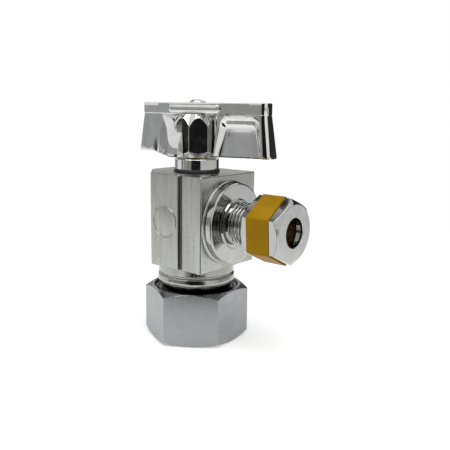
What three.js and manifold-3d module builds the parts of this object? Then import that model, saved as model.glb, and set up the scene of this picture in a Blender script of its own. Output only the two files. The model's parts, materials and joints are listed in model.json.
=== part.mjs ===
// Angle stop valve: a quarter-turn ball stop with a compression inlet below and a compression outlet at
// its side. Millimetres, +Z up. The origin is on the inlet axis, at the lower end face of the inlet nut.
// The outlet points along +X. The valve is drawn open, with its handle in line with the outlet.
import * as THREE from "three";
import { mergeVertices } from "three/addons/utils/BufferGeometryUtils.js";
import Module from "manifold-3d";

const wasm = await Module();
wasm.setup();

// ---- Driving dimensions ----
const FINE = 32; // facets round the large turned surfaces
const ROUND = 24; // facets round the small turned surfaces
const TURN = 18; // facets in each turn of a thread
const DEG = Math.PI / 180;
const SEAT = 0.1; // clearance round pieces that sit in or on each other
const TOUCH = 0.0; // between flat faces that rest on each other
const OVER = 1; // how far a cutter runs past the face it cuts
const SHELL = 0.05; // how far an envelope stands outside the corners it leaves whole

const block = {
  front: 10.7,
  rear: 12.4,
  halfWidth: 10.7,
  bottom: 19.8,
  top: 43.5,
  chamferX: 6.3,
  chamferY: 6.8,
};
const groove = { x: 3.9, width: 1.5, depth: 0.35 }; // the upright groove in each side face
const neck = {
  radius: 10.1,
  reliefRadius: 9.6,
  coreRadius: 9.0, // inside the thread
  beadTop: 17.2,
  beadBottom: 13.9,
  beadSlope: 0.5,
};

const inlet = {
  threadRadius: 10.3, // 13/16-18 UN
  pitch: 25.4 / 18,
  threadEnd: 7.2,
  tubeRadius: 7.94, // 5/8 in tube
  socketTop: 15.2,
  socketSlope: 1.2, // from the socket's shoulder up to the bore
  mouthRadius: 8.9,
  mouthDepth: 1.6,
  boreRadius: 5.4,
};
const inletNut = {
  flats: 23.81, // 15/16 in
  top: 13.75,
  cornerPhase: 34.3,
  floor: 2.6,
  chamfer: 1.15,
  faceInset: 0.3, // from the flats to the round edge of each end face
  holeBevel: 0.7,
  throatSlope: 2.6, // the cone that presses on the ferrule
  mouthRadius: 11.2,
  mouthDepth: 0.9,
};
const inletSleeve = { wall: 1.05, bottom: 2.9, top: 7.9, crown: 0.45 };

const outletZ = 31.4;
const chamberRadius = 8.6;
const chamberDepth = 7.6; // of the chamber's flat end behind the stem axis
const flange = {
  radius: 10.15,
  footRadius: 10.6, // the wider ring against the block
  thickness: 2.6,
  grooveStart: 0.7,
  grooveWidth: 0.3,
  grooveDepth: 0.5,
  edge: 0.2,
};
const outlet = {
  threadRadius: 5.56, // 7/16-24 UNS
  pitch: 25.4 / 24,
  threadStart: 14.0,
  threadEnd: 24.9,
  coreRadius: 4.81, // inside the thread
  hubRadius: 5.9,
  hubLength: 0.5,
  plugEnd: 6.9,
  tubeRadius: 3.18, // 1/4 in tube
  socketStart: 17.4,
  socketSlope: 0.5,
  boreRadius: 2.6,
  boreBevel: 0.7,
  mouthRadius: 4.8,
  mouthDepth: 1.1,
};
const outletNut = {
  flats: 14.15, // 9/16 in
  rear: 19.8,
  front: 30.3,
  cornerPhase: 3.85,
  wall: 1.9,
  chamfer: 0.7,
  faceInset: 0.5, // from the flats to the round edge of the front face
  holeBevel: 0.5,
  throatSlope: 2.1, // the cone that presses on the ferrule
  mouthDepth: 0.6,
};
const outletSleeve = { wall: 0.62, crown: 0.2, start: 24.1, end: 28.1 };
const band = { start: 21.6, end: 27.8, wall: 0.35 };

const ball = { radius: 7, port: 3.3, slotWidth: 2.7, slotDepth: 2.6 };
const seat = { bore: 3.7, thickness: 1.4, lip: 0.7 };
const oRing = { section: 0.8, groove: 1.0 };

const bonnet = {
  shankRadius: 5.2,
  collarRadius: 5.65,
  top: 47.15,
  edge: 0.3,
  boreRadius: 2.8,
  pocketRadius: 3.95,
  pocketTop: 42.0,
  bottom: 39.4,
};
const gasket = { radius: 5.95, thickness: 0.6 };
const stem = {
  radius: 2.5,
  driveFlats: 4.0,
  driveRun: 1.2, // how far the flats reach below the handle
  shoulderRadius: 3.6,
  shoulderTop: 41.2,
  shoulderBottom: 39.7,
  top: 57.4,
};
const tang = { thickness: 2.2, halfWidth: 2.3, bottom: 37.1 };
const stop = { lugSpan: 30, lugCentre: 45, margin: 2, turn: 90, rootRadius: 2.8 };
const washer = { thickness: 0.5 };

const handle = {
  bottom: 47.4,
  top: 60.9,
  barHeight: 2.9,
  barMiddle: 2.9, // half the bar's thickness round the screw
  barShoulder: 10.2, // where the bar starts to thin towards each tip
  barEase: 4,
  longArm: 22.1, // over the outlet
  shortArm: 17.5,
  tipFlare: 1.4, // how much further each arm reaches at its bottom than at its top
  tipRise: 0.65, // how much higher the underside is at the tips
  tipHalfTop: 1.6,
  tipHalfBottom: 2.05,
  scoop: 0.9,
  lobe: 6.9,
  hubFlats: 11.4,
  hubFoot: 5.1,
  hubFootHeight: 2.4,
  hubArch: 2.2, // how far below the bar the hub starts to draw in
  hubNeck: 4.1,
  padHeight: 2.1,
  padProud: 0.25,
  padStart: -7.2,
  padEnd: 9.6,
};
const screw = {
  shankRadius: 1.35,
  headRadius: 2.15,
  headTop: 61.75,
  headDome: 0.9,
  seat: 59.2,
  end: 51.5,
  washer: 0.45,
  recessLength: 2.6,
  recessWidth: 0.54,
  recessDepth: 0.6,
};
const bore = { handle: 0.2, head: 0.2, drive: 0.2 }; // clearances in the handle

// ---- Colours and finishes ----
const finish = (color, roughness, metalness) =>
  new THREE.MeshStandardMaterial({ color, roughness, metalness });
const materials = {
  satinChrome: () => finish(0xa5a7a0, 0.35, 1),
  brightChrome: () => finish(0xd2d4d6, 0.08, 1),
  brass: () => finish(0xb08d45, 0.3, 1),
  seatPlastic: () => finish(0xf0eee6, 0.5, 0),
  rubber: () => finish(0x161616, 0.7, 0),
  steel: () => finish(0xb8babd, 0.25, 1),
  yellow: () => finish(0xc79a10, 0.45, 0),
};

// ---- Solids ----
function signedVolume(position, triangles) {
  const corner = [new THREE.Vector3(), new THREE.Vector3(), new THREE.Vector3()];
  let volume = 0;
  for (let i = 0; i < triangles.length; i += 3) {
    corner.forEach((c, k) => c.fromBufferAttribute(position, triangles[i + k]));
    volume += corner[0].dot(corner[1].cross(corner[2])) / 6;
  }
  return volume;
}

// A closed geometry as a solid. Its outline may be drawn in either direction.
function solid(geometry) {
  geometry.deleteAttribute("normal");
  geometry.deleteAttribute("uv");
  const merged = mergeVertices(geometry, 1e-5);
  const index = merged.getIndex().array;
  const triangles = [];
  for (let i = 0; i < index.length; i += 3) {
    const [a, b, c] = index.slice(i, i + 3);
    if (a !== b && b !== c && c !== a) triangles.push(a, b, c);
  }
  if (signedVolume(merged.getAttribute("position"), triangles) < 0) triangles.reverse();
  return new wasm.Manifold(
    new wasm.Mesh({
      numProp: 3,
      vertProperties: new Float32Array(merged.getAttribute("position").array),
      triVerts: new Uint32Array(triangles),
    }),
  );
}

const join = (first, ...others) => others.reduce((sum, other) => sum.add(other), first);
const cut = (first, ...others) => others.reduce((sum, other) => sum.subtract(other), first);

const alongX = (geometry, z = outletZ) => geometry.rotateZ(-Math.PI / 2).translate(0, 0, z);
const alongZ = (geometry) => geometry.rotateX(Math.PI / 2);

// A turned solid from [radius, height] points. The profile closes on itself.
function turned(profile, place = alongZ, facets = ROUND) {
  const points = [...profile, profile[0]].map(([radius, height]) => new THREE.Vector2(radius, height));
  return solid(place(new THREE.LatheGeometry(points, facets)));
}

const rod = (radius, from, to, place, facets) =>
  turned([[0, from], [radius, from], [radius, to], [0, to]], place, facets);

// A ring with a rectangular section.
const ring = (inner, outer, from, to, place, facets) =>
  turned([[inner, from], [outer, from], [outer, to], [inner, to]], place, facets);

// A ring with a round section, such as an O-ring.
function torus(radius, section, height, place, sides = 8) {
  const profile = [];
  for (let i = 0; i < sides; i += 1) {
    const turn = (i / sides) * 2 * Math.PI;
    profile.push([radius + (section / 2) * Math.cos(turn), height + (section / 2) * Math.sin(turn)]);
  }
  return turned(profile, place);
}

// An upright prism on an outline of [x, y] points.
function prism(outline, from, to, place = (geometry) => geometry) {
  const shape = new THREE.Shape(outline.map(([x, y]) => new THREE.Vector2(x, y)));
  const geometry = new THREE.ExtrudeGeometry(shape, { depth: to - from, bevelEnabled: false });
  return solid(place(geometry.translate(0, 0, from)));
}

function polygon(sides, cornerRadius, phase) {
  const outline = [];
  for (let i = 0; i < sides; i += 1) {
    const turn = phase * DEG + (i / sides) * 2 * Math.PI;
    outline.push([cornerRadius * Math.cos(turn), cornerRadius * Math.sin(turn)]);
  }
  return outline;
}

const cornerRadiusOf = (flats, sides) => flats / 2 / Math.cos(Math.PI / sides);

function box(width, depth, height, x, y, z) {
  return solid(new THREE.BoxGeometry(width, depth, height).translate(x, y, z));
}

// The outlet's prisms are drawn upright and then laid along +X, with a corner at the top.
const prismToX = (geometry) => geometry.rotateY(Math.PI / 2).translate(0, 0, outletZ);

const threadGap = 0.25; // radial gap between a male thread and its nut
const threadDepth = 0.58; // of the pitch
const threadLead = 0.8; // the chamfer at a male thread's free end
const threadRootOf = ({ threadRadius, pitch }) => threadRadius + threadGap - threadDepth * pitch; // in a nut

// A screw thread as a solid rod from one height to another: a 60 degree ridge with flat crests and roots.
function threadRod(major, pitch, from, to, place = alongZ, facets = TURN) {
  const depth = threadDepth * pitch;
  const section = [
    [0, major - depth],
    [0.2, major - depth],
    [0.5, major],
    [0.7, major],
  ];
  const turns = Math.ceil((to - from) / pitch) + 2;
  const start = from - 1.5 * pitch;
  const rows = turns * section.length;
  const vertices = [];
  const triangles = [];
  const vertexAt = (row, column) => {
    const wrapped = column === facets ? row + section.length : row;
    return wrapped * facets + (column % facets);
  };
  for (let row = 0; row <= rows + section.length; row += 1) {
    const [share, radius] = section[row % section.length];
    const base = start + (Math.floor(row / section.length) + share) * pitch;
    for (let column = 0; column < facets; column += 1) {
      const turn = (column / facets) * 2 * Math.PI;
      vertices.push(radius * Math.sin(turn), base + (column / facets) * pitch, radius * Math.cos(turn));
    }
  }
  for (let row = 0; row < rows; row += 1) {
    for (let column = 0; column < facets; column += 1) {
      const corners = [vertexAt(row, column), vertexAt(row, column + 1), vertexAt(row + 1, column + 1)];
      triangles.push(...corners, corners[0], corners[2], vertexAt(row + 1, column));
    }
  }
  const cap = (row, height, reverse) => {
    const centre = vertices.length / 3;
    vertices.push(0, height, 0);
    const loop = [];
    for (let column = 0; column < facets; column += 1) loop.push(vertexAt(row, column));
    for (let step = section.length; step > 0; step -= 1) loop.push(vertexAt(row + step, 0));
    loop.forEach((vertex, i) => {
      const next = loop[(i + 1) % loop.length];
      triangles.push(centre, ...(reverse ? [next, vertex] : [vertex, next]));
    });
  };
  cap(0, start - pitch, true);
  cap(rows, start + (turns + 2) * pitch, false);
  const used = [...new Set(triangles)].sort((a, b) => a - b);
  const renumber = new Map(used.map((vertex, i) => [vertex, i]));
  const geometry = new THREE.BufferGeometry();
  const positions = used.flatMap((vertex) => vertices.slice(vertex * 3, vertex * 3 + 3));
  geometry.setAttribute("position", new THREE.Float32BufferAttribute(positions, 3));
  geometry.setIndex(triangles.map((vertex) => renumber.get(vertex)));
  return solid(place(geometry));
}

const group = new THREE.Group();

function add(name, shape, material) {
  const { vertProperties, triVerts } = shape.getMesh();
  const geometry = new THREE.BufferGeometry();
  geometry.setAttribute("position", new THREE.BufferAttribute(vertProperties, 3));
  geometry.setIndex(new THREE.BufferAttribute(triVerts, 1));
  geometry.computeVertexNormals();
  const mesh = new THREE.Mesh(geometry, material());
  mesh.name = name;
  group.add(mesh);
}

// ---- Valve body ----
function blockOutline() {
  const { front, rear, halfWidth, chamferX, chamferY } = block;
  return [
    [front, -halfWidth],
    [front, halfWidth],
    [chamferX - rear, halfWidth],
    [-rear, halfWidth - chamferY],
    [-rear, chamferY - halfWidth],
    [chamferX - rear, -halfWidth],
  ];
}

// A male thread, cut back to a chamfer at its free end and plain at its other end.
function maleThread(major, pitch, free, far, place) {
  const way = Math.sign(far - free);
  const envelope = [
    [0, free],
    [major - threadLead, free],
    [major + OVER, free + way * (threadLead + OVER)],
    [major + OVER, far],
    [0, far],
  ];
  const [from, to] = [Math.min(free, far), Math.max(free, far)];
  return threadRod(major, pitch, from, to, place).intersect(turned(envelope, place));
}

// The cutter for a nut's thread. It is in phase with the male thread that starts at the given height.
function femaleThread({ threadRadius, pitch }, phaseStart, from, to, place) {
  const major = threadRadius + threadGap;
  const lowered = phaseStart - Math.ceil((phaseStart - from) / pitch) * pitch;
  return threadRod(major, pitch, lowered, to, place).intersect(rod(major + OVER, from, to, place));
}

function valveBody() {
  const thread = maleThread(inlet.threadRadius, inlet.pitch, inlet.threadEnd, neck.beadBottom, alongZ);
  const turnedNeck = turned(
    [
      [0, neck.beadBottom - OVER],
      [neck.coreRadius, neck.beadBottom - OVER],
      [neck.coreRadius, neck.beadBottom],
      [neck.radius, neck.beadBottom],
      [neck.radius, neck.beadTop],
      [neck.reliefRadius, neck.beadTop + neck.beadSlope],
      [neck.reliefRadius, block.bottom + OVER],
      [0, block.bottom + OVER],
    ],
    alongZ,
    FINE,
  );
  const solids = join(prism(blockOutline(), block.bottom, block.top), turnedNeck, thread);
  const socket = turned([
    [0, inlet.threadEnd - OVER],
    [inlet.mouthRadius, inlet.threadEnd - OVER],
    [inlet.mouthRadius, inlet.threadEnd],
    [inlet.tubeRadius + SEAT, inlet.threadEnd + inlet.mouthDepth],
    [inlet.tubeRadius + SEAT, inlet.socketTop],
    [inlet.boreRadius, inlet.socketTop + inlet.socketSlope],
    [inlet.boreRadius, outletZ],
    [0, outletZ],
  ]);
  const chamber = rod(chamberRadius, -chamberDepth, block.front + OVER, alongX);
  const stemHole = rod(bonnet.shankRadius + SEAT, outletZ, block.top + OVER);
  const grooves = [-1, 1].map((side) =>
    box(groove.width, 2 * groove.depth, block.top, groove.x, side * block.halfWidth, block.top),
  );
  return cut(solids, socket, chamber, stemHole, ...grooves);
}

// ---- Outlet side ----
const flangeFace = block.front + flange.thickness;
const grooveStart = block.front + flange.grooveStart;
const plugRadius = chamberRadius - SEAT;
const ringSeat = 8.6; // where the adapter's O-ring groove is, along the outlet

function outletAdapter() {
  const outside = turned(
    [
      [0, outlet.plugEnd],
      [plugRadius, outlet.plugEnd],
      [plugRadius, ringSeat - oRing.groove / 2],
      [plugRadius - oRing.section, ringSeat - oRing.groove / 2],
      [plugRadius - oRing.section, ringSeat + oRing.groove / 2],
      [plugRadius, ringSeat + oRing.groove / 2],
      [plugRadius, block.front + TOUCH],
      [flange.footRadius, block.front + TOUCH],
      [flange.footRadius, grooveStart],
      [flange.radius - flange.grooveDepth, grooveStart],
      [flange.radius - flange.grooveDepth, grooveStart + flange.grooveWidth],
      [flange.radius, grooveStart + flange.grooveWidth],
      [flange.radius, flangeFace - flange.edge],
      [flange.radius - flange.edge, flangeFace],
      [outlet.hubRadius, flangeFace],
      [outlet.hubRadius, flangeFace + outlet.hubLength],
      [outlet.coreRadius, flangeFace + outlet.hubLength],
      [outlet.coreRadius, outlet.threadStart + OVER],
      [0, outlet.threadStart + OVER],
    ],
    alongX,
    FINE,
  );
  const thread = maleThread(outlet.threadRadius, outlet.pitch, outlet.threadEnd, outlet.threadStart, alongX);
  const passage = turned(
    [
      [0, outlet.plugEnd - OVER],
      [outlet.boreRadius + outlet.boreBevel, outlet.plugEnd - OVER],
      [outlet.boreRadius + outlet.boreBevel, outlet.plugEnd],
      [outlet.boreRadius, outlet.plugEnd + outlet.boreBevel],
      [outlet.boreRadius, outlet.socketStart - outlet.socketSlope],
      [outlet.tubeRadius + SEAT, outlet.socketStart],
      [outlet.tubeRadius + SEAT, outlet.threadEnd - outlet.mouthDepth],
      [outlet.mouthRadius, outlet.threadEnd + SHELL],
      [0, outlet.threadEnd + SHELL],
    ],
    alongX,
  );
  return cut(join(outside, thread), passage);
}

const adapterORing = () => torus(plugRadius - oRing.section / 2, oRing.section - SEAT, ringSeat, alongX);

// A seat ring whose dished face follows the ball. The side is +1 towards the outlet and -1 behind the ball.
function ballSeat(side, back) {
  const outer = chamberRadius - SEAT;
  const reach = ball.radius + SEAT;
  const profile = [[outer, side * back], [seat.bore, side * back]];
  const steps = 5;
  const first = Math.asin(seat.bore / reach);
  const last = Math.acos((back - seat.thickness - seat.lip) / reach);
  for (let i = 0; i <= steps; i += 1) {
    const angle = first + ((last - first) * i) / steps;
    profile.push([reach * Math.sin(angle), side * reach * Math.cos(angle)]);
  }
  profile.push([outer, side * (back - seat.thickness)]);
  return turned(profile, alongX);
}

// A compression sleeve: a barrel that is fullest over its middle third.
function sleeve(inner, { wall, crown }, start, end, place) {
  const full = 0.36 * (end - start); // from each end to where the barrel is full
  return turned(
    [
      [inner, start],
      [inner + crown, start],
      [inner + wall, start + full],
      [inner + wall, end - full],
      [inner + crown, end],
      [inner, end],
    ],
    place,
  );
}

function outletNutSolid() {
  const corner = cornerRadiusOf(outletNut.flats, 6);
  const { rear, front, chamfer, wall, faceInset, holeBevel, throatSlope, mouthDepth } = outletNut;
  const hex = prism(polygon(6, corner, outletNut.cornerPhase), rear, front, prismToX);
  const envelope = turned(
    [
      [0, rear],
      [corner - chamfer, rear],
      [corner + SHELL, rear + chamfer],
      [corner + SHELL, front - chamfer],
      [outletNut.flats / 2 - faceInset, front],
      [0, front],
    ],
    alongX,
    FINE,
  );
  const hole = outlet.tubeRadius + SEAT;
  const root = threadRootOf(outlet) - SEAT;
  const mouth = outlet.threadRadius + threadGap;
  const floor = front - wall;
  const throat = turned(
    [
      [0, rear - OVER],
      [mouth + mouthDepth, rear - OVER],
      [mouth + mouthDepth, rear],
      [mouth, rear + mouthDepth],
      [root, rear + mouthDepth],
      [root, floor - throatSlope],
      [hole + outletSleeve.crown + SEAT, floor],
      [hole, floor],
      [hole, front - holeBevel],
      [hole + holeBevel, front],
      [hole + holeBevel, front + OVER],
      [0, front + OVER],
    ],
    alongX,
  );
  const threadTop = outlet.threadEnd + outletNut.mouthDepth;
  const threaded = femaleThread(outlet, outlet.threadStart, rear - OVER, threadTop, alongX);
  return cut(hex.intersect(envelope), throat, threaded);
}

function sizeBand() {
  const inner = prism(
    polygon(6, cornerRadiusOf(outletNut.flats + SEAT, 6), outletNut.cornerPhase),
    band.start - OVER,
    band.end + OVER,
    prismToX,
  );
  const outer = prism(
    polygon(6, cornerRadiusOf(outletNut.flats + SEAT + 2 * band.wall, 6), outletNut.cornerPhase),
    band.start,
    band.end,
    prismToX,
  );
  return cut(outer, inner);
}

// ---- Inlet side ----
function inletNutSolid() {
  const corner = cornerRadiusOf(inletNut.flats, 6);
  const { top, chamfer, floor, faceInset, holeBevel, throatSlope, mouthRadius, mouthDepth } = inletNut;
  const face = inletNut.flats / 2 - faceInset;
  const hex = prism(polygon(6, corner, inletNut.cornerPhase), 0, top);
  const envelope = turned(
    [
      [0, 0],
      [face, 0],
      [corner + SHELL, chamfer],
      [corner + SHELL, top - chamfer],
      [face, top],
      [0, top],
    ],
    alongZ,
    FINE,
  );
  const hole = inlet.tubeRadius + SEAT;
  const root = threadRootOf(inlet) - 2 * SEAT;
  const throat = turned(
    [
      [0, -OVER],
      [hole + holeBevel, -OVER],
      [hole + holeBevel, 0],
      [hole, holeBevel],
      [hole, floor],
      [hole + inletSleeve.crown + 2 * SEAT, floor],
      [root, floor + throatSlope],
      [root, top - mouthDepth],
      [inlet.threadRadius + threadGap, top - mouthDepth],
      [mouthRadius, top],
      [mouthRadius, top + OVER],
      [0, top + OVER],
    ],
    alongZ,
    FINE,
  );
  const threaded = femaleThread(inlet, inlet.threadEnd, floor + throatSlope, top + OVER, alongZ);
  return cut(hex.intersect(envelope), throat, threaded);
}

// ---- Ball, stem and bonnet ----
function ballSolid() {
  const sphere = solid(alongZ(new THREE.SphereGeometry(ball.radius, 32, 20)).translate(0, 0, outletZ));
  const { port, slotWidth, slotDepth, radius } = ball;
  const slotFloor = outletZ + radius - slotDepth;
  return cut(
    sphere,
    rod(port, outletZ - radius - OVER, outletZ),
    rod(port, 0, radius + OVER, alongX),
    box(2 * (radius + OVER), slotWidth, 2 * slotDepth, 0, 0, slotFloor + slotDepth),
  );
}

// A pie slice between two angles, measured from +X.
function slice(fromAngle, toAngle, radius, from, to) {
  const outline = [[0, 0]];
  const steps = 10;
  for (let i = 0; i <= steps; i += 1) {
    const turn = (fromAngle + ((toAngle - fromAngle) * i) / steps) * DEG;
    outline.push([radius * Math.cos(turn), radius * Math.sin(turn)]);
  }
  return prism(outline, from, to);
}

const stemRingHeights = [43.6, 45.5];
const stopFrom = stop.lugCentre - stop.lugSpan / 2;
const stopTo = stop.lugCentre + stop.lugSpan / 2;

function stemSolid() {
  const { radius, driveFlats, driveRun, shoulderRadius, shoulderTop, shoulderBottom, top } = stem;
  const profile = [
    [0, shoulderBottom],
    [shoulderRadius, shoulderBottom],
    [shoulderRadius, shoulderTop],
    [radius, shoulderTop],
  ];
  for (const height of stemRingHeights) {
    const [low, high] = [height - oRing.groove / 2, height + oRing.groove / 2];
    const floor = radius - oRing.section;
    profile.push([radius, low], [floor, low], [floor, high], [radius, high]);
  }
  profile.push([radius, top], [0, top]);
  const driveHeight = top + OVER - (handle.bottom + driveRun);
  const driveCentre = (top + OVER + handle.bottom + driveRun) / 2;
  const flats = [-1, 1].map((side) =>
    box(3 * radius, radius, driveHeight, 0, (side * (driveFlats + radius)) / 2, driveCentre),
  );
  const bladeHeight = shoulderBottom + OVER - tang.bottom;
  const blade = box(2 * tang.halfWidth, tang.thickness, bladeHeight, 0, 0, tang.bottom + bladeHeight / 2);
  const bladeRound = rod(tang.halfWidth, tang.bottom, shoulderBottom + OVER);
  const stopGap = cut(
    slice(
      stopFrom - stop.margin,
      stopTo + stop.turn + stop.margin,
      shoulderRadius + OVER,
      shoulderBottom - OVER,
      shoulderTop + OVER,
    ),
    rod(stop.rootRadius - SEAT, shoulderBottom - 2 * OVER, shoulderTop + 2 * OVER),
  );
  const screwHole = rod(screw.shankRadius + SEAT, screw.end - OVER, top + OVER);
  return cut(join(turned(profile), blade.intersect(bladeRound)), ...flats, stopGap, screwHole);
}

const gasketTop = block.top + gasket.thickness;

function bonnetSolid() {
  const { shankRadius, collarRadius, top, edge, boreRadius, pocketRadius, pocketTop, bottom } = bonnet;
  const shell = turned(
    [
      [boreRadius, pocketTop],
      [pocketRadius, pocketTop],
      [pocketRadius, bottom],
      [shankRadius, bottom],
      [shankRadius, gasketTop],
      [collarRadius, gasketTop],
      [collarRadius, top - edge],
      [collarRadius - edge, top],
      [boreRadius, top],
    ],
    alongZ,
    FINE,
  );
  const lug = cut(
    slice(stopFrom, stopTo, pocketRadius + 4 * SEAT, stem.shoulderBottom + SEAT, pocketTop + 4 * SEAT),
    rod(stop.rootRadius + SEAT, stem.shoulderBottom - OVER, pocketTop + OVER),
  );
  return join(shell, lug);
}

const thrustWasher = () =>
  ring(
    stem.radius + SEAT,
    stop.rootRadius - SEAT / 2,
    stem.shoulderTop + TOUCH,
    stem.shoulderTop + washer.thickness,
  );

// ---- Handle ----
const armSteps = 24;
const armLevels = [0, 0.3, 0.62, 0.86, 1]; // shares of an arm's height

function smoothStep(value) {
  const share = Math.min(1, Math.max(0, value));
  return share * share * (3 - 2 * share);
}

const armLength = (along) => (along > 0 ? handle.longArm : handle.shortArm);

// The arms' underside: it climbs evenly along the long arm, and steps up past the lobe on the short one.
function underside(along) {
  const rise = along > 0 ? along : smoothStep((-along - 0.55) / 0.2);
  return handle.bottom + handle.tipRise * rise;
}

// How far the front of the arms stands out, at a share of their length (negative on the short arm) and at a
// share of their height. The long arm is scooped for the thumb. The short one swells into a lobe at the hub.
function frontReach(along, share) {
  const { tipHalfBottom, tipHalfTop, scoop, lobe } = handle;
  const tip = tipHalfBottom + (tipHalfTop - tipHalfBottom) * share;
  if (along > 0) {
    const dip = Math.sin(Math.PI * Math.min(1, along * 1.05)) * Math.sin(Math.PI * Math.min(1, share * 1.2));
    return tip - scoop * Math.max(0, dip);
  }
  return tip + (lobe - tip) * smoothStep((along + 0.75) / 0.7) * (1 - share) ** 0.7;
}

// Both arms as one skin. The back of each arm is shaped like the front of the other.
function handleArms() {
  const top = handle.top - handle.barHeight + 2 * SEAT;
  const vertices = [];
  const triangles = [];
  const around = 2 * armLevels.length;
  for (let i = 0; i <= armSteps; i += 1) {
    const along = -1 + (2 * i) / armSteps;
    const low = underside(along);
    const point = (share, y) => {
      const x = along * (armLength(along) + handle.tipFlare * (1 - share));
      vertices.push(x, y, low + share * (top - low));
    };
    armLevels.forEach((share) => point(share, -frontReach(along, share)));
    [...armLevels].reverse().forEach((share) => point(share, frontReach(-along, share)));
  }
  for (let i = 0; i < armSteps; i += 1) {
    for (let k = 0; k < around; k += 1) {
      const [a, b] = [i * around + k, i * around + ((k + 1) % around)];
      triangles.push(a, b, b + around, a, b + around, a + around);
    }
  }
  const cap = (start, reverse) => {
    for (let k = 0; k < armLevels.length - 1; k += 1) {
      const [a, b] = [start + k, start + k + 1];
      const [c, d] = [start + around - 2 - k, start + around - 1 - k];
      const quad = [a, b, c, a, c, d];
      triangles.push(...(reverse ? quad.reverse() : quad));
    }
  };
  cap(0, true);
  cap(armSteps * around, false);
  const geometry = new THREE.BufferGeometry();
  geometry.setAttribute("position", new THREE.Float32BufferAttribute(vertices, 3));
  geometry.setIndex(triangles);
  return solid(geometry);
}

function pill(start, end, radius, centre) {
  const outline = [];
  const steps = 8;
  for (let i = 0; i <= steps; i += 1) {
    const turn = -Math.PI / 2 + (Math.PI * i) / steps;
    outline.push([end - radius + radius * Math.cos(turn), centre + radius * Math.sin(turn)]);
  }
  for (let i = 0; i <= steps; i += 1) {
    const turn = Math.PI / 2 + (Math.PI * i) / steps;
    outline.push([start + radius + radius * Math.cos(turn), centre + radius * Math.sin(turn)]);
  }
  return outline;
}

// The bar across the top: thick round the screw and thin at its tips.
function barOutline() {
  const { tipHalfTop, barMiddle, barShoulder, barEase } = handle;
  const outline = [];
  const steps = 6;
  for (const [alongSign, acrossSign] of [[1, -1], [1, 1], [-1, 1], [-1, -1]]) {
    const side = [];
    for (let i = 0; i <= steps; i += 1) {
      const share = i / steps;
      const ease = (1 + Math.cos(Math.PI * share)) / 2;
      const half = tipHalfTop + (barMiddle - tipHalfTop) * ease;
      side.push([alongSign * (barShoulder + barEase * share), acrossSign * half]);
    }
    side.push([alongSign * armLength(alongSign), acrossSign * tipHalfTop]);
    outline.push(...(alongSign * acrossSign < 0 ? side : side.reverse()));
  }
  return outline;
}

function handleSolid() {
  const { bottom, top, barHeight, barMiddle, hubFlats, hubFoot, hubFootHeight, hubArch, hubNeck } = handle;
  const bar = prism(barOutline(), top - barHeight, top);
  const hubTop = top - barHeight / 2;
  const hubCorner = cornerRadiusOf(hubFlats, 8);
  const hub = prism(polygon(8, hubCorner, 22.5), bottom, hubTop).intersect(
    turned([
      [0, bottom],
      [hubFoot, bottom],
      [hubCorner + SHELL, bottom + hubFootHeight],
      [hubCorner + SHELL, top - barHeight - hubArch],
      [hubNeck, hubTop],
      [0, hubTop],
    ]),
  );
  const pad = prism(
    pill(handle.padStart, handle.padEnd, handle.padHeight / 2, hubTop),
    barMiddle - 2 * SEAT,
    barMiddle + handle.padProud,
    (geometry) => geometry.rotateX(Math.PI / 2),
  );
  const socketRadius = stem.radius + bore.handle;
  const socketTop = stem.top + bore.drive;
  const socketHeight = socketTop - bottom + OVER;
  const socket = rod(socketRadius, bottom - OVER, socketTop).intersect(
    box(3 * socketRadius, stem.driveFlats + 2 * SEAT, socketHeight, 0, 0, socketTop - socketHeight / 2),
  );
  const mouth = rod(socketRadius, bottom - OVER, bottom + 2 * stem.driveRun);
  const screwHole = rod(screw.shankRadius + bore.head, bottom, top + OVER);
  const headHole = rod(screw.headRadius + bore.head, screw.seat, top + OVER);
  return cut(join(handleArms(), bar, hub, pad), socket, mouth, screwHole, headHole);
}

function handleScrew() {
  const { shankRadius, headRadius, headTop, headDome, end, recessLength, recessWidth, recessDepth } = screw;
  const under = screw.seat + screw.washer;
  const profile = [
    [0, end],
    [shankRadius - 4 * SEAT, end],
    [shankRadius, end + 4 * SEAT],
    [shankRadius, under],
    [headRadius, under],
  ];
  const rim = headTop - headDome;
  const steps = 5;
  for (let i = 0; i <= steps; i += 1) {
    const turn = (i / steps) * (Math.PI / 2);
    profile.push([headRadius * Math.cos(turn), rim + headDome * Math.sin(turn)]);
  }
  const recess = [
    [recessLength, recessWidth],
    [recessWidth, recessLength],
  ].map(([width, depth]) => box(width, depth, 2 * recessDepth, 0, 0, headTop));
  return cut(turned(profile), ...recess);
}

const screwWasher = () =>
  ring(screw.shankRadius + SEAT, screw.headRadius - SEAT, screw.seat + TOUCH, screw.seat + screw.washer);

// ---- Assembly ----
add("valve_body", valveBody(), materials.satinChrome);
add("outlet_adapter", outletAdapter(), materials.satinChrome);
add("adapter_o_ring", adapterORing(), materials.rubber);
add("outlet_seat", ballSeat(1, outlet.plugEnd), materials.seatPlastic);
add("rear_seat", ballSeat(-1, chamberDepth), materials.seatPlastic);
add("ball", ballSolid(), materials.brightChrome);
add("stem", stemSolid(), materials.brass);
stemRingHeights.forEach((height, i) => {
  const shape = torus(stem.radius - oRing.section / 2 + SEAT / 2, oRing.section - SEAT, height, alongZ);
  add(["stem_o_ring_lower", "stem_o_ring_upper"][i], shape, materials.rubber);
});
add("thrust_washer", thrustWasher(), materials.seatPlastic);
add("bonnet", bonnetSolid(), materials.brightChrome);
add(
  "bonnet_gasket",
  ring(bonnet.shankRadius + SEAT, gasket.radius, block.top, gasketTop, alongZ, FINE),
  materials.rubber,
);
add("handle", handleSolid(), materials.brightChrome);
add("handle_screw", handleScrew(), materials.steel);
add("screw_washer", screwWasher(), materials.steel);
add(
  "inlet_ferrule",
  sleeve(inlet.tubeRadius + SEAT, inletSleeve, inletSleeve.bottom, inletSleeve.top, alongZ),
  materials.brass,
);
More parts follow.
